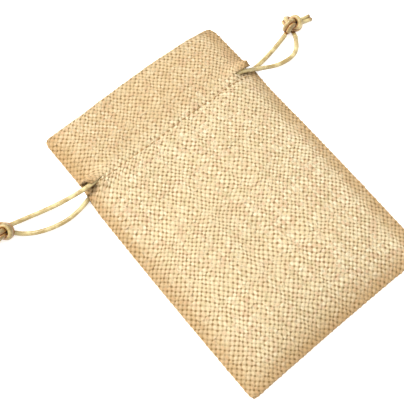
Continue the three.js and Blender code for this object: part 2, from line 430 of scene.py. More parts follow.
knotFacts = {
    "places": {"left": (-90.5, 51.5), "right": (82.15, 51.6)},
    "tailWay": {"left": 172.0, "right": -9.0},     # degrees in the plane of the floor
    "tailLength": 5.7,
    "tailStart": 5.5,
    "tailSpread": 0.90,
    "lobe": 1.42,           # scale of the knot's three lobes
    "thickness": 1.35,
    "swell": 1.22,
    "strandSpread": 1.02,   # half the distance between the two strands side by side
    "height": 3.7,
    "sides": 18,
    "roll": {"left": 20.0, "right": 145.0},
}


# The overhand knot's line in its own place: in from the loop, round three lobes, out to the tails.
def knotLine(side, way):
    facts = knotFacts
    turn = np.radians(np.linspace(20, 340, 60)) + math.pi
    size = facts["lobe"]
    lobes = np.column_stack([
        size * (np.sin(turn) + 2 * np.sin(2 * turn)),
        size * (np.cos(turn) - 2 * np.cos(2 * turn)),
        -size * facts["thickness"] * np.sin(3 * turn),
    ])
    flatten = Matrix.Rotation(math.radians(facts["roll"][side]), 3, "X")
    heading = Matrix.Rotation(math.radians(way), 3, "Z")
    return np.array([list(heading @ (flatten @ Vector(p))) for p in lobes])


# Marks where a strand of the knot touches the others, for the painted shade in the creases.
def shadeCreases(strand, path, otherPath, radius):
    sides = knotFacts["sides"]
    places = np.array([v.co for v in strand.data.vertices]) / mm
    rings = len(path) + 6
    ringOf = np.minimum(np.arange(len(places)) // sides, rings - 1)
    own = np.clip(ringOf - 3, 0, len(path) - 1)
    toOther = np.linalg.norm(places[:, None, :] - otherPath[None, :, :], axis=2).min(axis=1)
    toSelf = np.linalg.norm(places[:, None, :] - path[None, :, :], axis=2)
    apart = np.abs(own[:, None] - np.arange(len(path))[None, :]) > 12
    toSelf = np.where(apart, toSelf, 99).min(axis=1)
    touching = 1 - smooth(np.minimum(toOther, toSelf), radius * 1.2, radius * 2.5)
    shade = strand.data.attributes.new("creaseShade", "FLOAT", "POINT")
    shade.data.foreach_set("value", touching.astype(np.float32))


# The strands flatten against each other inside the knot, so they look wider there.
def knotWidths(path, radius):
    share = np.linspace(0, 1, len(path))
    inside = smooth(share, 0.04, 0.16) * (1 - smooth(share, 0.86, 0.97))
    return radius * (1.02 + (knotFacts["swell"] - 1.02) * inside)


def addKnots(strands, burnt, creased):
    facts = knotFacts
    radius = cordFacts["diameter"] / 2
    knots, tails = {}, {}
    for side in ("left", "right"):
        centre = np.array([*facts["places"][side], facts["height"]])
        way = facts["tailWay"][side]
        heading = np.array([math.cos(math.radians(way)), math.sin(math.radians(way)), 0.0])
        across = np.array([-heading[1], heading[0], 0.0])
        lobes = knotLine(side, way)
        tangents = np.gradient(lobes, axis=0)
        outward = lobes / (np.linalg.norm(lobes, axis=1)[:, None] + 1e-9)
        beside = np.cross(tangents, outward)
        beside /= np.linalg.norm(beside, axis=1)[:, None]
        made = []
        ends = [strands[f"{side}_{layer}_strand"][1][-1] for layer in ("front", "back")]
        if (ends[0] - ends[1]) @ across * (beside[0] @ across) < 0:
            ends.reverse()
        paths = []
        for which, end in zip((1, -1), ends):
            knotPath = centre + lobes + beside * facts["strandSpread"] * which
            tailSide = 1 if (beside[-1] @ across) * which > 0 else -1
            tailRoot = centre + heading * facts["tailStart"] + across * facts["tailSpread"] * tailSide
            tailRoot[2] = 2.1
            line = np.vstack([end, knotPath[::3], knotPath[-1], tailRoot])
            path = smoothPath(line, 0.35)
            path[:, 2] = np.maximum(path[:, 2], knotWidths(path, radius) + 0.03)
            paths.append(path)
            name = "upper" if tailSide > 0 else "lower"
            tip = tailRoot + heading * facts["tailLength"] + across * 0.15 * tailSide
            tip[2] = radius + 0.1
            middle = (tailRoot + tip) / 2
            middle[2] = 1.4
            tails[f"{side}_{name}_tail"] = (tailRoot, middle, tip)
        for index, path in enumerate(paths):
            widths = knotWidths(path, radius)
            strand = tubePiece(f"{side}KnotStrand{index}", path, widths, creased, sides=facts["sides"])
            shadeCreases(strand, path, paths[1 - index], radius)
            made.append(strand)
        bpy.ops.object.select_all(action="DESELECT")
        for piece in made:
            piece.select_set(True)
        bpy.context.view_layer.objects.active = made[0]
        bpy.ops.object.join()
        knot = made[0]
        knot.name = side + "Knot"
        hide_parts(side + "_knot")
        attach(knot, side + "_drawstring")
        knots[side] = knot
    tailPieces = {}
    for node, (root, middle, tip) in tails.items():
        path = smoothPath([root, middle, tip], 0.25)
        share = np.linspace(0, 1, len(path))
        widths = radius * (1 - 0.10 * share + 0.10 * np.maximum(0, share - 0.8) * 5)
        tail = tubePiece(node.replace("_", ""), path, widths, burnt, sides=facts["sides"])
        shade = tail.data.attributes.new("tipShade", "FLOAT", "POINT")
        uvAlong = np.array([Vector(v.co) @ Vector(tip - root) for v in tail.data.vertices])
        uvAlong = (uvAlong - uvAlong.min()) / (uvAlong.max() - uvAlong.min())
        shade.data.foreach_set("value", np.clip((uvAlong - 0.72) / 0.25, 0, 1))
        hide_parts(node)
        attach(tail, node.split("_")[0] + "_drawstring")
        tailPieces[node] = tail
    return knots, tailPieces


cloth = {
    "pitchAcross": 1.25,        # one warp thread to the next
    "pitch": 1.34,              # one weft thread to the next
    "threadsAcross": 84,
    "phases": (0.0, 0.38, 0.62),   # where a thread is sampled: its crown and both sides of the gap
    "halfLength": 75.0,
    "bodyHalf": 51.1,
    "mouthHalf": 50.0,
    "slit": (37.5, 48.8),
    "hemRawY": 38.0,
    "rowY": 41.4,
    "foldRadius": 0.7,
    "frontRoll": 0.8,
    "backRoll": 0.6,
    "cornerCore": 2.1,
    "mouthCorners": (2.4, 4.2),      # left and right
    "crown": 10.3,
    "casingTop": 10.8,
    "mouthTop": 9.0,
    "edgeTop": 3.15,
    "lipTop": 11.1,             # the slit's upper side, over the cords
    "cutLeft": (-42.5, 41.9),   # inner end of each side's slit and its height
    "cutRight": (38.5, 44.6),
    "underside": 0.5,           # thickness of the cloth under its middle surface
    "relief": 1.25,
    "hemHalf": 48.3,
    "hemSlitHalf": 37.3,        # the hem is notched beside the slits
    "bodyShift": 0.52,          # the body lies a little to the left of the mouth
    "lipDraw": (3.4, 2.4),      # how far the lip's corner is drawn in, left and right
}

randomCount = 400      # random values kept ready, more than there are threads either way


def smooth(value, low, high):
    t = np.clip((value - low) / (high - low), 0, 1)
    return t * t * (3 - 2 * t)


def lerp(first, second, share):
    return first + (second - first) * share


# A slow random field between about -1 and 1, made of a few crossed waves.
def softWave(x, y, seed, size):
    rng = np.random.default_rng(seed)
    total = 0
    for _ in range(5):
        angle = rng.uniform(0, math.pi)
        length = size * rng.uniform(0.7, 1.6)
        phase = rng.uniform(0, 2 * math.pi)
        total = total + np.sin((x * math.cos(angle) + y * math.sin(angle)) * 2 * math.pi / length + phase)
    return total / 3.2


def cornerInset(distance, radius):
    inside = np.clip(radius - distance, 0, radius)
    return radius - np.sqrt(np.maximum(radius**2 - inside**2, 0))


def slitShare(y):
    low, high = cloth["slit"]
    return smooth(y, low - 1.5, low + 1.5) * (1 - smooth(y, high - 1.0, high + 1.5))


# The inner end of the slit on this side and the height of its cut.
def slitEnd(x):
    left, right = cloth["cutLeft"], cloth["cutRight"]
    return np.where(x < 0, -left[0], right[0]), np.where(x < 0, left[1], right[1])


# 1 on the raised upper side of the slit, fading to 0 where the side seam begins again.
def lipShare(y, cutY, upper):
    low = np.where(cutY < 43, 44.3, 46.3)
    high = np.where(cutY < 43, 49.2, 51.5)
    return np.where(upper, 1 - smooth(y, low, high), 0.0)


def halfWidth(x, y):
    body = cloth["bodyHalf"] + 0.45 * np.sin(math.pi * np.clip((y + 75) / 112, 0, 1))
    width = lerp(body, cloth["mouthHalf"], smooth(y, cloth["slit"][0], cloth["slit"][1]))
    left, right = cloth["mouthCorners"]
    fromTop = cloth["halfLength"] - y
    corner = np.where(x < 0, cornerInset(fromTop, left), cornerInset(fromTop, right))
    return width - corner


def rowLine(x):
    return cloth["rowY"] + 0.25 * np.sin(x / 14 + 0.6) + 0.12 * np.sin(x / 4.7)


# The middle surface of the front panel. upper is the side of the slit the cloth belongs to.
def frontHeight(x, y, upper=False):
    facts = cloth
    across = np.clip(np.abs(x) / (facts["bodyHalf"] - 1), 0, 1)
    middle = lerp(facts["crown"], facts["casingTop"], smooth(y, 26, 38))
    middle = lerp(middle, facts["mouthTop"], smooth(y, 50, 74))
    along = np.clip((y + facts["halfLength"] - 0.8) / 40, 0, 1)
    rise = 1 - (1 - along) ** 2.6
    fall = lerp(across**3.4, across**7, smooth(y, 8, 36))
    sewn = facts["edgeTop"] + (middle - facts["edgeTop"]) * rise * (1 - fall)
    cutX, cutY = slitEnd(x)
    raised = lerp(facts["casingTop"], facts["lipTop"], smooth(np.abs(x), 33, 39))
    lowered = smooth(y, cutY - 6.0, cutY) * (1 - smooth(np.abs(x), cutX, cutX + 4.0))
    openShare = np.where(upper, lipShare(y, cutY, upper), lowered)
    height = lerp(sewn, raised, openShare)
    edgeLift = smooth(y, cutY - 6.5, cutY - 3.0) * smooth(np.abs(x), 46.5, 50.0)
    height = height + np.where(upper, 0, 0.9) * edgeLift * (y < 50)
    sunk = np.exp(-(((np.abs(x) - 44.5) / 2.4) ** 2) - ((y - cutY) / 2.2) ** 2)
    height = height - np.where(upper, 0, 0.7) * sunk
    inside = np.clip(1 - across**6, 0, 1) * smooth(y, -72, -55) * (1 - smooth(y, 66, 74))
    inside = inside * (1 - smooth(y, 38, 42) * (1 - smooth(y, 47, 52)) * smooth(np.abs(x), 34, 40))
    height = height + inside * (0.45 * softWave(x, y, 11, 46) + 0.16 * softWave(x, y, 12, 17))
    fromRow = y - rowLine(x)
    between = 0.78 + 0.22 * np.cos(2 * math.pi * x / 3.1)
    rowShare = 1 - smooth(np.abs(x), 40.0, 43.0)
    height = height - 0.55 * between * rowShare * np.exp(-((fromRow / 0.9) ** 2))
    ripple = 0.10 * np.cos(2 * math.pi * x / 6.2 + 0.8 * np.sin(x / 9)) * np.exp(-np.abs(fromRow) / 4.5)
    height = height + ripple * rowShare
    fromSide = np.clip(facts["bodyHalf"] - np.abs(x), 0, 60)
    pucker = np.sin(2 * math.pi * y / 6.8 + 1.3 * np.sin(y / 11) + np.sign(x))
    height = height + 0.20 * pucker * np.exp(-fromSide / 4.0) * (1 - openShare) * smooth(fromSide, 0.2, 2.5)
    return height


def frontHemHeight(x, y):
    under = frontHeight(x, y, y > 44) - 2 * cloth["foldRadius"]
    level = np.minimum(7.75, under)
    return lerp(level, under, smooth(y, 68, 74))


def backHeight(x, y):
    slow = 0.5 + 0.5 * softWave(x, y, 21, 40)
    return 0.36 + 0.10 * slow * np.clip(np.abs(x) / 50, 0, 1) ** 4


def backHemHeight(x, y):
    level = lerp(2.70, 1.76, np.clip(np.abs(x) / 49, 0, 1) ** 6)
    atFold = backHeight(x, y) + 2 * cloth["foldRadius"]
    return lerp(level, atFold, smooth(y, 58, 74))


def mouthWave(x):
    dips = -0.2 - 0.70 * np.exp(-(((x + 30) / 11) ** 2)) - 0.30 * np.exp(-(((x - 41) / 8) ** 2))
    return dips + 0.45 * np.exp(-(((x - 10) / 14) ** 2)) + 1.1 * np.exp(-(((x + 50) / 5) ** 2))


# Places of the cloth's middle surface, in millimetres, at thread coordinates a across and b along.
# b runs from the bottom seam up the outside, over the mouth fold and down the hem inside.
def clothPlaces(front, a, b, upper):
    facts = cloth
    roll = facts["frontRoll"] if front else facts["backRoll"]
    fold = facts["foldRadius"]
    mouthY = facts["halfLength"] - fold
    coreBottom = -facts["halfLength"] + roll
    flatBottom = coreBottom - math.pi * roll
    run = b * facts["pitch"] + flatBottom       # y while on the outside
    outsideEnd = mouthY
    foldEnd = outsideEnd + math.pi * fold
    bend = np.clip((run - outsideEnd) / fold, 0, math.pi)
    inHem = run > foldEnd
    y = np.where(run < outsideEnd, run, outsideEnd + fold * np.sin(bend))
    y = np.where(inHem, mouthY - (run - foldEnd), y)
    turned = bend / math.pi       # 0 outside, 1 in the hem
    side = 1 if front else -1
    u = (a / facts["threadsAcross"] * 2 - 1) * side
    width = halfWidth(u, y)
    hemWidth = np.minimum(facts["hemHalf"], width - 1.4)
    hemSlit = smooth(y, 36, 39.5) * (1 - smooth(y, 47.6, 50.5))
    hemWidth = lerp(hemWidth, facts["hemSlitHalf"], hemSlit)
    rollHere = roll * (1 - 0.97 * turned)
    _, cutY = slitEnd(u)
    lip = lipShare(y, cutY, upper) * (turned < 0.5) if front else 0
    if front:
        flap = np.where(upper | (y > 50), 0, smooth(y, cutY - 6.5, cutY - 3.0))
        rollHere = rollHere * (1 - 0.96 * lip) * (1 - 0.85 * flap)
    else:
        rollHere = rollHere * (1 - 0.75 * slitShare(y) * (turned < 0.5))
    core = lerp(width - np.maximum(rollHere, 0.05), hemWidth, turned)
    flatHalf = core + math.pi * rollHere
    flatCorner = facts["cornerCore"] + math.pi * roll
    flatHalf = flatHalf - np.where(turned > 0, 0, cornerInset(run - flatBottom, flatCorner))
    x = u * flatHalf
    # distance past the core outline, and the way out of it
    radius = facts["cornerCore"]
    beyondX = np.abs(x) - (core - radius)
    beyondY = np.where(turned > 0, -1e3, (coreBottom + radius) - run)
    inCorner = (beyondX > 0) & (beyondY > 0)
    reach = np.hypot(beyondX, beyondY) + 1e-9
    wayX = np.where(inCorner, np.sign(x) * beyondX / reach, np.where(beyondX >= beyondY, np.sign(x), 0.0))
    wayY = np.where(inCorner, -beyondY / reach, np.where(beyondX >= beyondY, 0.0, -1.0))
    past = np.where(inCorner, reach, np.maximum(beyondX, beyondY)) - radius
    past = np.maximum(past, 0)
    coreX = x - wayX * past
    coreY = np.where(wayY != 0, run - wayY * past, y)
    angle = np.minimum(past / np.maximum(rollHere, 1e-6), math.pi)
    outX = coreX + wayX * rollHere * np.sin(angle)
    outY = coreY + wayY * rollHere * np.sin(angle)
    sampleY = np.minimum(coreY, mouthY)
    drop = rollHere * (1 - np.cos(angle))
    if front:
        outside = frontHeight(coreX, sampleY, upper) - fold * (1 - np.cos(bend))
        z = np.where(inHem, frontHemHeight(coreX, sampleY), outside) - drop
    else:
        outside = backHeight(coreX, sampleY) + fold * (1 - np.cos(bend))
        z = np.where(inHem, backHemHeight(coreX, sampleY), outside) + drop
    outY = outY + mouthWave(outX) * smooth(outY, 50, 74)
    outX = outX - facts["bodyShift"] * (1 - smooth(outY, 28, 44))
    bottomBow = 0.45 * (1 - np.clip(outX / 51, -1, 1) ** 2) + 0.30 * np.clip(outX / 51, -1, 1)
    outY = outY + bottomBow * (1 - smooth(outY, -74, -50))
    skew = smooth(outY, -66, -50) * (1 - smooth(outY, 60, 72)) * np.clip(1 - (outX / 50) ** 4, 0, 1)
    outX = outX + 0.40 * skew * softWave(outX, outY, 31, 38)
    outY = outY + 0.40 * skew * softWave(outX, outY, 32, 44)
    if front:       # the lip draws in at its corner and droops along the cord
        nearEdge = smooth(np.abs(outX), 36, 51)
        corner = lip * (1 - smooth(y, cutY + 1.0, cutY + 5.5))
        drawn = np.where(u < 0, facts["lipDraw"][0], facts["lipDraw"][1])
        outX = outX - np.sign(outX) * corner * nearEdge * drawn
        outY = outY - corner * smooth(np.abs(outX), 41, 50) * np.where(u < 0, 0.2, 1.4)
    return np.stack([outX, outY, z], axis=-1)


# The cloth's outward direction at thread coordinates a and b.
def waysOut(front, a, b, upper):
    nudge = 0.02
    acrossWay = clothPlaces(front, a + nudge, b, upper) - clothPlaces(front, a - nudge, b, upper)
    alongWay = clothPlaces(front, a, b + nudge, upper) - clothPlaces(front, a, b - nudge, upper)
    way = np.cross(acrossWay, alongWay)
    return way / (np.linalg.norm(way, axis=-1, keepdims=True) + 1e-12)


# The gap between two wefts, and the column it starts from, for the slit on each side.
def findCuts(sampleB, flatBottom, stretch, countB, seed):
    facts = cloth
    lines = unevenThreads(countB, seed + 1) * stretch * facts["pitch"] + flatBottom
    cuts = []
    for side, (cutX, cutY) in ((-1, facts["cutLeft"]), (1, facts["cutRight"])):
        thread = int(np.argmin(np.abs((lines[:-1] + lines[1:]) / 2 - cutY)))
        column = int(round((cutX / 51.5 + 1) / 2 * facts["threadsAcross"])) * len(facts["phases"]) + 1
        row = thread * len(facts["phases"]) + 1
        cuts.append({"side": side, "row": row, "column": column, "after": sampleB[row] + 0.1})
    return cuts


# Which samples belong to the cloth above the slit of their side.
def upperSide(cuts, threadA, threadB):
    above = np.zeros(threadA.shape, dtype=bool)
    for cut in cuts:
        onLeft = threadA < cloth["threadsAcross"] / 2
        onSide = onLeft if cut["side"] < 0 else ~onLeft
        above |= onSide & (threadB > cut["after"])
    return above


# Where the cloth is sampled: each thread's crown and both sides of the gap, up to fineTo.
def threadSamples(count, fineTo=None):
    fineTo = count if fineTo is None else fineTo
    samples = [j + phase for j in range(count) for phase in (cloth["phases"] if j < fineTo else (0.0,))]
    return np.array(samples + [float(count)])


# Thread places with small random differences in spacing, ends kept.
def unevenThreads(count, seed):
    rng = np.random.default_rng(seed)
    widths = np.clip(1 + 0.13 * rng.standard_normal(count), 0.7, 1.35)
    lines = np.concatenate([[0], np.cumsum(widths)])
    return lines * count / lines[-1]


# How far each thread strays sideways, a little, along its length.
def wander(threads, along, seed):
    rng = np.random.default_rng(seed)
    phases = rng.uniform(0, 2 * math.pi, (3, randomCount))
    which = np.clip(np.floor(threads + 0.5).astype(int), 0, randomCount - 1)
    return (
        0.10 * np.sin(0.41 * along + phases[0][which])
        + 0.07 * np.sin(1.07 * along + phases[1][which])
        + 0.05 * np.sin(2.3 * along + phases[2][which])
    )


# Height of a plain weave over its middle surface, at thread coordinates a and b.
def weaveRelief(a, b, seed):
    nearA = np.floor(a + 0.5)
    nearB = np.floor(b + 0.5)
    offA = a - nearA
    offB = b - nearB
    warpOver = ((nearA + nearB) % 2 == 0) * 2 - 1
    rng = np.random.default_rng(seed)
    slubA = rng.standard_normal(randomCount)
    slubB = rng.standard_normal(randomCount)
    thickA = 1 + 0.13 * slubA[nearA.astype(int)] * np.sin(b * 0.13 + slubB[nearA.astype(int)] * 3)
    thickB = 1 + 0.13 * slubB[nearB.astype(int)] * np.sin(a * 0.11 + slubA[nearB.astype(int)] * 3)
    roundA = np.sqrt(np.maximum(1 - (offA / 0.56) ** 2, 0))
    roundB = np.sqrt(np.maximum(1 - (offB / 0.56) ** 2, 0))
    puff = 1 + 0.30 * rng.standard_normal((randomCount, randomCount))[nearA.astype(int), nearB.astype(int)]
    warp = 0.20 * warpOver * np.cos(math.pi * offB) * puff + 0.42 * thickA * roundA
    weft = -0.08 * warpOver * np.cos(math.pi * offA) * puff + 0.38 * thickB * roundB
    hollow = 0.06 * smooth(np.abs(offA), 0.2, 0.45) * smooth(np.abs(offB), 0.2, 0.45)
    return (np.maximum(warp, weft) - hollow - 0.38) * cloth["relief"]


def buildCloth(name, front, material, seed):
    facts = cloth
    warps, pitch = facts["threadsAcross"], facts["pitch"]
    mouthY = facts["halfLength"] - facts["foldRadius"]
    roll = facts["frontRoll"] if front else facts["backRoll"]
    flatBottom = -facts["halfLength"] + roll - math.pi * roll
    total = (mouthY - flatBottom) + math.pi * facts["foldRadius"]
    total += mouthY - facts["hemRawY"]
    countB = int(round(total / pitch))
    stretch = total / pitch / countB
    foldB = (mouthY - flatBottom) / pitch / stretch
    sampleA = threadSamples(warps)
    sampleB = threadSamples(countB, int(foldB) + 3)
    cuts = findCuts(sampleB, flatBottom, stretch, countB, seed) if front else []
    lineA = np.interp(sampleA, np.arange(warps + 1), unevenThreads(warps, seed))
    lineB = np.interp(sampleB, np.arange(countB + 1), unevenThreads(countB, seed + 1)) * stretch
    gridA, gridB = np.meshgrid(lineA, lineB)
    threadA, threadB = np.meshgrid(sampleA, sampleB)
    fadeA = smooth(np.minimum(threadA, warps - threadA), 1.5, 4)
    fadeB = smooth(np.minimum(threadB, countB - threadB), 1.5, 4)
    strayA = wander(threadA, threadB, seed + 3) * fadeA
    strayB = wander(threadB, threadA, seed + 4) * fadeB
    upper = upperSide(cuts, threadA, threadB)
    places = clothPlaces(front, gridA + strayA, gridB + strayB, upper)
    normals = waysOut(front, gridA + strayA, gridB + strayB, upper)
    relief = weaveRelief(threadA, threadB, seed + 2)
    surface = places + normals * relief[..., None]
    if not front:
        surface[..., 2] = np.maximum(surface[..., 2], 0.01)
    rows, columns = gridA.shape

    # the hidden side: a coarse grid under the same surface
    edgeSteps = np.concatenate([np.arange(0, 4, 0.45), np.arange(4, 14, 0.9)])
    inA = np.unique(np.concatenate([
        edgeSteps,
        np.arange(15, warps - 14, 2.5),
        warps - edgeSteps,
    ]))
    inA = np.unique(np.concatenate([inA] + [[sampleA[cut["column"]]] for cut in cuts]))
    inB = np.unique(np.concatenate([
        [0, 0.45, 0.9, 1.35, 1.8, 2.6, 3.8, 5.5],
        np.arange(8, foldB - 31, 3),
        np.arange(foldB - 30, foldB - 17, 1.1),
        np.arange(foldB - 17, foldB - 1, 2.5),
        foldB + np.arange(0, 1.65, 0.2),
        np.arange(foldB + 3, foldB + 17, 2.5),
        np.arange(foldB + 17, countB, 1.4),
        [countB],
    ] + [[sampleB[cut["row"]], sampleB[cut["row"] + 1]] for cut in cuts]))
    lineInA = np.interp(inA, np.arange(warps + 1), unevenThreads(warps, seed))
    lineInB = np.interp(inB, np.arange(countB + 1), unevenThreads(countB, seed + 1)) * stretch
    coarseA, coarseB = np.meshgrid(lineInA, lineInB)
    upperIn = upperSide(cuts, *np.meshgrid(inA, inB))
    under = clothPlaces(front, coarseA, coarseB, upperIn)
    under = under - waysOut(front, coarseA, coarseB, upperIn) * facts["underside"]
    inRows, inColumns = under.shape[:2]

    vertices = np.vstack([surface.reshape(-1, 3), under.reshape(-1, 3)]) * mm
    uvs = np.vstack([
        np.column_stack([threadA.ravel(), threadB.ravel()]),
        np.column_stack([np.tile(inA, inRows), np.repeat(inB, inColumns)]),
    ])
    first = rows * columns
    outerGrid = np.arange(first).reshape(rows, columns)
    innerGrid = first + np.arange(inRows * inColumns).reshape(inRows, inColumns)
    keepOuter = np.ones((rows - 1, columns - 1), dtype=bool)
    keepInner = np.ones((inRows - 1, inColumns - 1), dtype=bool)
    leftEdges, rightEdges = [0, rows - 1], [0, rows - 1]
    edges = [
        (outerGrid[0], sampleA, innerGrid[0], inA, 1),
        (outerGrid[-1], sampleA, innerGrid[-1], inA, -1),
    ]
    for cut in cuts:
        row, column = cut["row"], cut["column"]
        inRow = int(np.argmin(np.abs(inB - sampleB[row])))
        inRowEnd = int(np.argmin(np.abs(inB - sampleB[row + 1])))
        inColumn = int(np.argmin(np.abs(inA - sampleA[column])))
        if cut["side"] < 0:
            across, acrossIn = slice(0, column), slice(0, inColumn)
            along, alongIn = slice(0, column + 1), slice(0, inColumn + 1)
            leftEdges[1:1] = [row, row + 1]
        else:
            across, acrossIn = slice(column, None), slice(inColumn, None)
            along, alongIn = slice(column, None), slice(inColumn, None)
            rightEdges[1:1] = [row, row + 1]
        keepOuter[row, across] = False
        keepInner[inRow:inRowEnd, acrossIn] = False
        ends = outerGrid[row : row + 2, column], sampleB[row : row + 2]
        endsIn = innerGrid[inRow : inRowEnd + 1, inColumn], inB[inRow : inRowEnd + 1]
        edges += [
            (outerGrid[row, along], sampleA[along], innerGrid[inRow, alongIn], inA[alongIn], -1),
            (outerGrid[row + 1, along], sampleA[along], innerGrid[inRowEnd, alongIn], inA[alongIn], 1),
            (*ends, *endsIn, cut["side"]),
        ]
    for at, sideEdges, turn in ((0, leftEdges, -1), (-1, rightEdges, 1)):
        for low, high in zip(sideEdges[::2], sideEdges[1::2]):
            inLow = int(np.argmin(np.abs(inB - sampleB[low])))
            inHigh = int(np.argmin(np.abs(inB - sampleB[high])))
            edges.append((
                outerGrid[low : high + 1, at], sampleB[low : high + 1],
                innerGrid[inLow : inHigh + 1, at], inB[inLow : inHigh + 1], turn,
            ))
    low, high = slice(None, -1), slice(1, None)
    outerCorners = ((low, low), (low, high), (high, high), (high, low))
    faces = np.stack([outerGrid[c] for c in outerCorners], axis=-1)[keepOuter].tolist()
    innerCorners = ((low, low), (high, low), (high, high), (low, high))
    faces += np.stack([innerGrid[c] for c in innerCorners], axis=-1)[keepInner].tolist()
    for outer, outerAt, inner, innerAt, turn in edges:
        faces += zipEdges(outer.tolist(), outerAt, inner.tolist(), innerAt, turn)
    piece = newPiece(name, vertices.tolist(), faces, material, uvs)
    paintLipShade(piece, [threadA, upper], [np.meshgrid(inA, inB)[0], upperIn], [places, under])
    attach(piece, "pouch")
    return piece


# Marks the painted shade on the slit's lip, along its raw edge and cut where it faces the strand, for the
# cloth's material.
def paintLipShade(piece, outer, inner, grids):
    shares = []
    for (threads, upper), places in zip((outer, inner), grids):
        x, y, z = places[..., 0], places[..., 1], places[..., 2]
        fromSide = np.minimum(threads, cloth["threadsAcross"] - threads)
        fromCut = y - slitEnd(x)[1] + 1.4 * smooth(x, 41, 50)
        side = (1 - smooth(fromSide, 0.6, 2.6)) * (1 - smooth(y, 45.5, 49.0))
        cut = (1 - smooth(fromCut, 0.2, 1.5)) * smooth(np.abs(x), 43.0, 46.5)
        # how strong the painted shade on the lip is, left and right
        lipShadeStrength = np.where(x < 0, 0.3, 0.85)
        shares.append(lipShadeStrength * upper * (y < 50) * (z > 4) * np.maximum(side, cut))
    shade = piece.data.attributes.new("lipShade", "FLOAT", "POINT")
    shade.data.foreach_set("value", np.concatenate([s.ravel() for s in shares]).astype(np.float32))


# Triangles between a fine edge and a coarse one that run side by side.
def zipEdges(outer, outerAt, inner, innerAt, turn):
    faces = []
    i = j = 0
    while i < len(outer) - 1 or j < len(inner) - 1:
        stepOuter = j == len(inner) - 1 or (i < len(outer) - 1 and outerAt[i + 1] <= innerAt[j + 1])
        if stepOuter:
            face = (outer[i], inner[j], outer[i + 1])
            i += 1
        else:
            face = (outer[i], inner[j], inner[j + 1])
            j += 1
        faces.append(face if turn == 1 else face[::-1])
    return faces


clothPaint = {
    "cream": (0.82, 0.70, 0.46, 1.0),
    "straw": (0.74, 0.60, 0.36, 1.0),
    "rose": (0.64, 0.42, 0.27, 1.0),
    "olive": (0.54, 0.48, 0.26, 1.0),
    # weft: dark brown for the fibre specks and for the painted shade on the sunk weft crossings
    "weft": (0.19, 0.115, 0.035, 1.0),
    # gap: painted shade between the threads and on the slit's lip
    "gap": (0.10, 0.055, 0.014, 1.0),
    "pale": (0.93, 0.85, 0.63, 1.0),
    "edge": (0.46, 0.265, 0.10, 1.0),
    "fibreBump": 0.00012,
}


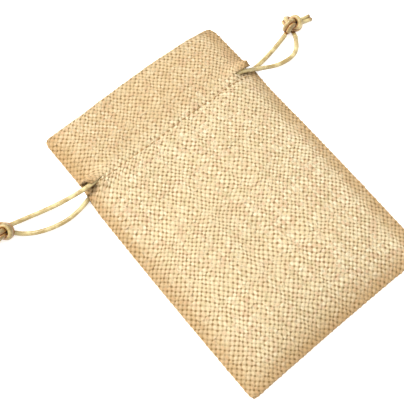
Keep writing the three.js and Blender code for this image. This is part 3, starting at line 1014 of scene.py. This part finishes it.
def clothMaterial():
    colors = clothPaint
    paint = Paint("wovenJute")
    a, b = paint.uv("threads")
    nearA = paint.math("FLOOR", paint.add(a, 0.5))
    nearB = paint.math("FLOOR", paint.add(b, 0.5))
    offA = paint.math("ABSOLUTE", paint.minus(a, nearA))
    offB = paint.math("ABSOLUTE", paint.minus(b, nearB))
    warpOver = paint.minus(1.0, paint.math("PINGPONG", paint.add(nearA, nearB), 1.0))
    weftOver = paint.minus(1.0, warpOver)
    # the thread on top at each crossing: its own tone, and how far across and along it we are
    toneA = paint.random(nearA)
    toneB = paint.random(paint.add(nearB, 517.3))
    tone = paint.add(paint.times(toneA, warpOver), paint.times(toneB, weftOver))
    across = paint.add(paint.times(offA, warpOver), paint.times(offB, weftOver))
    lengthways = paint.add(paint.times(offB, warpOver), paint.times(offA, weftOver))
    runA = paint.add(paint.times(b, warpOver), paint.times(a, weftOver))
    sideA = paint.add(paint.times(paint.minus(a, nearA), warpOver),
                       paint.times(paint.minus(b, nearB), weftOver))
    crossing = paint.random(paint.add(nearA, paint.times(nearB, 131.7)))
    place = paint.objectPlace()
    broad = paint.noise(place, 38.0, 3.0)
    patch = paint.noise(place, 190.0, 3.0)
    patchTwo = paint.noise(paint.shifted(place), 230.0, 3.0)
    fibre = paint.noise(place, 3200.0, 3.0, 0.6)
    twist = paint.math("SINE", paint.times(paint.add(paint.times(runA, 3.0),
                                                                 paint.times(sideA, 2.4)), 2 * math.pi))
    thread = paint.mix(paint.spread(tone, 0.15, 0.85), colors["straw"], colors["cream"])
    thread = paint.mix(paint.spread(crossing, 0.62, 0.98, 0.0, 0.6), thread, colors["rose"])
    thread = paint.mix(paint.spread(crossing, 0.34, 0.04, 0.0, 0.55), thread, colors["pale"])
    thread = paint.mix(paint.spread(broad, 0.60, 0.40, 0.0, 0.40), thread, colors["straw"])
    thread = paint.mix(paint.spread(patch, 0.54, 0.70, 0.0, 0.42), thread, colors["rose"])
    thread = paint.mix(paint.spread(patchTwo, 0.54, 0.70, 0.0, 0.45), thread, colors["olive"])
    thread = paint.mix(paint.spread(twist, 0.1, -0.9, 0.0, 0.22), thread, colors["rose"])
    thread = paint.mix(paint.spread(fibre, 0.46, 0.26, 0.0, 0.45), thread, colors["weft"])
    # toward the side and bottom edges the cloth is painted darker and more orange-brown: partly painted
    # shade where the pillow falls away, partly a warmer tint of the cloth
    fromEdge = paint.math("MINIMUM", a, paint.minus(float(cloth["threadsAcross"]), a))
    fromEdge = paint.math("MINIMUM", fromEdge, b)
    lipShadeMask = paint.node("ShaderNodeAttribute", attribute_name="lipShade").outputs["Fac"]
    edge = paint.spread(paint.add(fromEdge, paint.times(patch, 6.0)), 14.0, 2.0, 0.0, 0.80)
    thread = paint.mix(edge, thread, colors["edge"])
    # painted shade on the slit's lip
    thread = paint.mix(lipShadeMask, thread, colors["gap"])
    header = paint.spread(b, 88.0, 94.0, 0.0, 0.30)
    thread = paint.mix(header, thread, colors["edge"])
    # painted shade: the weft lies low between two raised warps, so its crossing is painted as a small dark
    # dot of shade
    dotA = paint.math("POWER", paint.times(offA, 2.3), 2.0)
    dotB = paint.math("POWER", paint.times(offB, 2.6), 2.0)
    ragged = paint.times(fibre, 0.9)
    dot = paint.spread(paint.add(paint.add(dotA, dotB), ragged), 2.0, 0.55, 0.0, 0.92)
    dot = paint.times(dot, paint.times(weftOver, paint.spread(crossing, 0.0, 0.6, 0.6, 1.0)))
    thread = paint.mix(dot, thread, colors["weft"])
    # painted shade along each thread's sides and in the holes between threads
    sides = paint.spread(across, 0.34, 0.50, 0.0, 0.30)
    both = paint.spread(paint.add(across, lengthways), 0.62, 0.95, 0.0, 0.38)
    shade = paint.math("MAXIMUM", sides, both)
    color = paint.mix(shade, thread, colors["gap"])
    height = paint.add(paint.times(twist, 0.35), paint.times(fibre, 0.9))
    height = paint.minus(height, paint.add(shade, dot))
    return paint.finish({
        "Base Color": color,
        "Roughness": 0.86,
        "Specular IOR Level": 0.25,
        "Sheen Weight": 0.25,
        "Sheen Roughness": 0.5,
        "Sheen Tint": (1.0, 0.88, 0.62, 1.0),
        "Normal": paint.bump(height, 0.6, colors["fibreBump"]),
    })


sewing = {
    "stitchLength": 2.5,
    "stitchEvery": 3.1,
    "threadRadius": 0.22,
    "reach": 44.0,
    "insideReach": 36.3,    # the hem is narrower, so its row is shorter
    "thread": (0.30, 0.16, 0.055, 1.0),
    "threadLight": (0.52, 0.33, 0.14, 1.0),
    "overlockEvery": 2.3,
}


def threadMaterial():
    paint = Paint("sewingThread")
    place = paint.objectPlace()
    patch = paint.noise(place, 900.0, 2.0)
    ply = paint.noise(place, 5200.0, 2.0)
    tone = paint.mix(paint.spread(patch, 0.3, 0.7), sewing["thread"], sewing["threadLight"])
    tone = paint.mix(paint.spread(ply, 0.4, 0.7, 0.0, 0.4), tone, sewing["thread"])
    return paint.finish({
        "Base Color": tone,
        "Roughness": 0.62,
        "Sheen Weight": 0.3,
        "Normal": paint.bump(ply, 0.5, 0.00005),
    })


# One stitch: a short rod of thread whose ends dip into the cloth.
def stitchModel():
    bpy.ops.object.select_all(action="DESELECT")
    bpy.ops.mesh.primitive_cylinder_add(vertices=8, radius=sewing["threadRadius"] * mm,
                                        depth=sewing["stitchLength"] * mm, rotation=(0, math.pi / 2, 0))
    stitch = bpy.context.active_object
    bpy.ops.object.transform_apply(location=True, rotation=True, scale=True)
    bpy.ops.object.mode_set(mode="EDIT")
    bpy.ops.mesh.select_all(action="SELECT")
    for cut in (-0.84, -0.5, 0.0, 0.5, 0.84):
        bpy.ops.mesh.select_all(action="SELECT")
        bpy.ops.mesh.bisect(plane_co=(cut * sewing["stitchLength"] / 2 * mm, 0, 0), plane_no=(1, 0, 0))
    bpy.ops.object.mode_set(mode="OBJECT")
    half = sewing["stitchLength"] / 2 * mm
    for vertex in stitch.data.vertices:
        share = abs(vertex.co.x) / half
        vertex.co.z -= 0.55 * mm * share**3
        if share > 0.95:
            vertex.co.y *= 0.6
    return stitch


def addStitchRows(material):
    stitch = stitchModel()
    model = stitch.data
    # for each side and layer: its surface, how far off it a stitch lies, and which way is out
    surfaces = {
        (True, True): (frontHemHeight, -0.34, -1),
        (True, False): (frontHeight, 0.30, 1),
        (False, True): (backHemHeight, 0.34, 1),
        (False, False): (backHeight, -0.12, -1),
    }
    for front in (True, False):
        sideName = "front" if front else "back"
        mesh = bmesh.new()
        rng = np.random.default_rng(7 if front else 8)
        xs = np.arange(-sewing["reach"], sewing["reach"] + 0.1, sewing["stitchEvery"])
        for x in xs:
            for inside in (False, True):
                jitter = rng.uniform(-0.12, 0.12, 3)
                shift = sewing["stitchEvery"] / 2 if inside else 0
                at = x + shift + jitter[0]
                if abs(at) > (sewing["insideReach"] if inside else sewing["reach"]):
                    continue
                y = rowLine(np.array(at)) + jitter[1] * 0.6
                height, lift, up = surfaces[front, inside]
                z = height(np.array(at), y) + lift
                turn = Matrix.Rotation(math.radians(jitter[2] * 60), 4, "Z")
                flip = Matrix.Rotation(0 if up == 1 else math.pi, 4, "X")
                place = Matrix.Translation((at * mm, float(y) * mm, float(z) * mm))
                copy = model.copy()
                copy.transform(place @ turn @ flip)
                mesh.from_mesh(copy)
                bpy.data.meshes.remove(copy)
        made = bpy.data.meshes.new(sideName + "StitchRow")
        if not front:
            for vertex in mesh.verts:
                vertex.co.z = max(vertex.co.z, 0.02 * mm)
        mesh.to_mesh(made)
        mesh.free()
        made.materials.append(material)
        made.polygons.foreach_set("use_smooth", [True] * len(made.polygons))
        row = bpy.data.objects.new(sideName + "StitchRow", made)
        bpy.context.collection.objects.link(row)
        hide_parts(sideName + "_stitch_row")
        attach(row, "pouch")
    bpy.data.objects.remove(stitch, do_unlink=True)


# Two raw cloth edges held together by an overlock thread, from start to end.
def seamStrip(name, start, end, inward, clothPaintwork, threadPaintwork, seed):
    start, end, inward = (np.array(v, dtype=float) for v in (start, end, inward))
    way = end - start
    length = np.linalg.norm(way)
    way /= length
    rng = np.random.default_rng(seed)
    steps = int(length / 1.4)
    vertices, faces, uvs = [], [], []
    section = [(0, 0), (0, 0.45), (1.2, 0.5), (2.2, 0.45), (2.3, 0.22), (2.2, 0.0), (1.2, -0.03)]
    count = len(section)
    for layer in (0, 1):
        first = len(vertices)
        for step in range(steps + 1):
            centre = start + way * length * step / steps
            fray = 1 + 0.08 * rng.standard_normal()
            for out, up in section:
                place = centre + inward * out * fray + np.array([0, 0, up + layer * 0.58 - 0.55])
                vertices.append(place * mm)
                uvs.append((out / 1.4, step + layer * 3))
        for step in range(steps):
            for k in range(count):
                a, b = first + step * count + k, first + step * count + (k + 1) % count
                faces.append((a, b, b + count, a + count))
        faces.append(tuple(first + k for k in reversed(range(count))))
        faces.append(tuple(first + steps * count + k for k in range(count)))
    strip = newPiece(name, vertices, faces, clothPaintwork, uvs)
    bpy.ops.object.select_all(action="DESELECT")
    strip.select_set(True)
    bpy.context.view_layer.objects.active = strip
    bpy.ops.object.mode_set(mode="EDIT")
    bpy.ops.mesh.select_all(action="SELECT")
    bpy.ops.mesh.normals_make_consistent(inside=False)
    bpy.ops.object.mode_set(mode="OBJECT")
    path = []
    wraps = int(length / sewing["overlockEvery"])
    for wrap in range(wraps):
        base = start + way * (wrap + 0.5) * sewing["overlockEvery"]
        lean = way * sewing["overlockEvery"] * 0.25
        path += [
            base - lean + inward * 0.5 + [0, 0, 0.62],
            base + inward * 1.7 + [0, 0, 0.64],
            base + lean + inward * 2.55 + [0, 0, 0.05],
            base + lean * 1.4 + inward * 1.7 + [0, 0, -0.68],
            base + lean * 1.8 + inward * 0.5 + [0, 0, -0.66],
            base + lean * 2.6 + inward * 2.5 + [0, 0, -0.1],
        ]
    thread = tubePiece(name + "Thread", smoothPath(path, 0.45), 0.14, threadPaintwork, sides=6)
    return strip, thread


def addSeams(clothPaintwork, threadPaintwork):
    seams = []
    for sideName, side in (("left", -1), ("right", 1)):
        for part, low, high in (("body", -69.0, 37.0), ("header", 49.3, 70.0)):
            edge = side * (50.0 if part == "body" else 49.2)
            seams.append((f"{sideName}_{part}_seam", (edge, low, 1.5), (edge, high, 1.5), (-side, 0, 0)))
    seams.append(("bottom_seam", (-41.0, -74.0, 1.5), (41.0, -74.0, 1.5), (0, 1, 0)))
    for index, (node, start, end, inward) in enumerate(seams):
        name = node.replace("_", "")
        strip, thread = seamStrip(name, start, end, inward, clothPaintwork, threadPaintwork, 60 + index)
        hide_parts(node)
        for piece, slotName in ((strip, "hem_cloth"), (thread, "thread")):
            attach(piece, "pouch")


addCamera()
addStudio()
print("camera, floor and light are in place")
strands, satinPaint, burntPaint, creasedPaint = addCords()
addFarBends(satinPaint)
knots, tails = addKnots(strands, burntPaint, creasedPaint)
print("cords are laid and tied")
jutePaint = clothMaterial()
frontCloth = buildCloth("frontCloth", True, jutePaint, 101)
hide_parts("front_panel", "front_hem", "front_mouth_fold")
backCloth = buildCloth("backCloth", False, jutePaint, 201)
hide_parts("back_panel", "back_hem", "back_mouth_fold")
print("cloth is woven")
sewingPaint = threadMaterial()
addStitchRows(sewingPaint)
addSeams(jutePaint, sewingPaint)
print("rows and seams are sewn")
